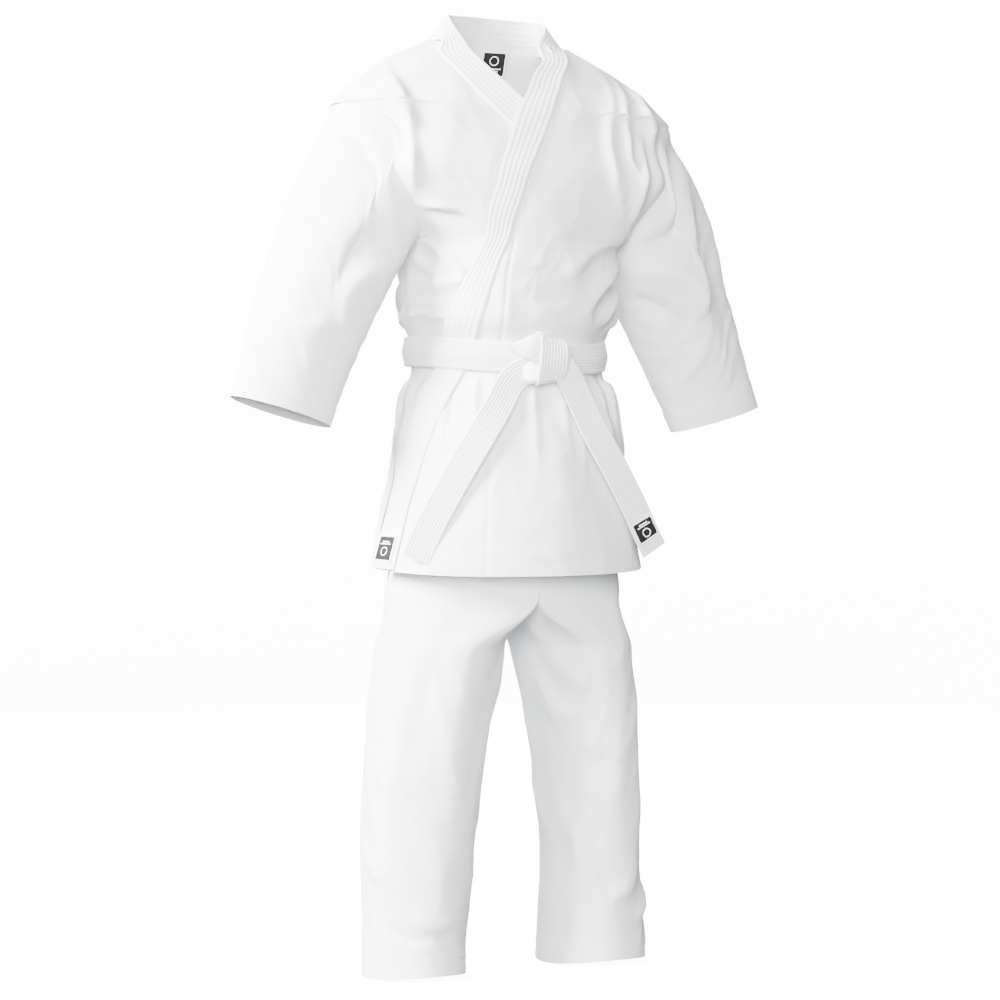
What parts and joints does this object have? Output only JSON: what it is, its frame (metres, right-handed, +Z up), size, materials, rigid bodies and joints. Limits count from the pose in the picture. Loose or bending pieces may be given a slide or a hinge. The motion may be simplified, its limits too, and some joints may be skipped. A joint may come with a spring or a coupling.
{
  "type": "martial arts uniform",
  "caption": "White wrapped jacket with tied belt and straight trousers, worn shape, with swinging sleeves, skirts, belt tails and legs.",
  "frame": {"origin": "middle of the neck opening at the height of the shoulder seams' inner ends, where the wearer's shoulders carry the garment", "axes": "+Z up, the wearer faces -Y, the wearer's left is +X"},
  "size_m": [0.8796, 0.2898, 1.4392],
  "materials": {
    "white_drill": "woven cotton drill, matt",
    "belt_cotton": "stitched cotton, matt",
    "label_black": "woven polyester label, matt"
  },
  "bodies": {
    "torso": {"back_panel_left": "white_drill", "back_panel_right": "white_drill", "front_panel_left": "white_drill", "front_panel_right": "white_drill", "gore_left": "white_drill", "lapel_left": "white_drill", "lapel_right": "white_drill", "collar_back": "white_drill", "neck_label": "label_black", "shoulder_lining_left": "white_drill", "shoulder_lining_right": "white_drill", "belt_turn_inner": "belt_cotton", "belt_turn_outer": "belt_cotton", "knot_body": "belt_cotton", "knot_wrap": "belt_cotton", "knot_fold": "belt_cotton", "waistband": "white_drill", "hip_front_left": "white_drill", "hip_front_right": "white_drill", "hip_back_left": "white_drill", "hip_back_right": "white_drill", "crotch_gusset": "white_drill"},
    "left_sleeve": {"sleeve_front_left": "white_drill", "sleeve_back_left": "white_drill", "cuff_facing_left": "white_drill"},
    "right_sleeve": {"sleeve_front_right": "white_drill", "sleeve_back_right": "white_drill", "cuff_facing_right": "white_drill"},
    "front_skirt": {"front_skirt_left": "white_drill", "front_skirt_right": "white_drill", "lapel_skirt_left": "white_drill", "lapel_skirt_right": "white_drill", "gore_skirt_left": "white_drill", "lapel_patch": "label_black"},
    "back_skirt": {"back_skirt_left": "white_drill", "back_skirt_right": "white_drill", "vent_patch_left": "white_drill", "vent_patch_right": "white_drill"},
    "left_tail": {"belt_tail_left": "belt_cotton", "belt_patch": "label_black"},
    "right_tail": {"belt_tail_right": "belt_cotton"},
    "left_leg": {"leg_left": "white_drill", "leg_hem_left": "white_drill"},
    "right_leg": {"leg_right": "white_drill", "leg_hem_right": "white_drill"}
  },
  "joints": [
    {"name": "left_sleeve_raise", "type": "hinge", "parent": "torso", "child": "left_sleeve", "pos_m": [0.288, 0, -0.114], "axis": [0, -1, 0], "range_deg": [0, 60]},
    {"name": "right_sleeve_raise", "type": "hinge", "parent": "torso", "child": "right_sleeve", "pos_m": [-0.288, 0, -0.114], "axis": [0, 1, 0], "range_deg": [0, 60]},
    {"name": "front_skirt_lift", "type": "hinge", "parent": "torso", "child": "front_skirt", "pos_m": [0, -0.1556, -0.533], "axis": [-1, 0, 0], "range_deg": [0, 40]},
    {"name": "back_skirt_lift", "type": "hinge", "parent": "torso", "child": "back_skirt", "pos_m": [0, 0.104, -0.533], "axis": [1, 0, 0], "range_deg": [0, 30]},
    {"name": "left_tail_swing", "type": "hinge", "parent": "front_skirt", "child": "left_tail", "pos_m": [0.054, -0.1556, -0.534], "axis": [-1, 0, 0], "range_deg": [0, 60]},
    {"name": "right_tail_swing", "type": "hinge", "parent": "front_skirt", "child": "right_tail", "pos_m": [-0.04, -0.1556, -0.534], "axis": [-1, 0, 0], "range_deg": [0, 60]},
    {"name": "left_leg_raise", "type": "hinge", "parent": "torso", "child": "left_leg", "pos_m": [0.1, -0.1125, -0.8392], "axis": [-1, 0, 0], "range_deg": [0, 60]},
    {"name": "right_leg_raise", "type": "hinge", "parent": "torso", "child": "right_leg", "pos_m": [-0.1, -0.1125, -0.8392], "axis": [-1, 0, 0], "range_deg": [0, 60]}
  ]
}
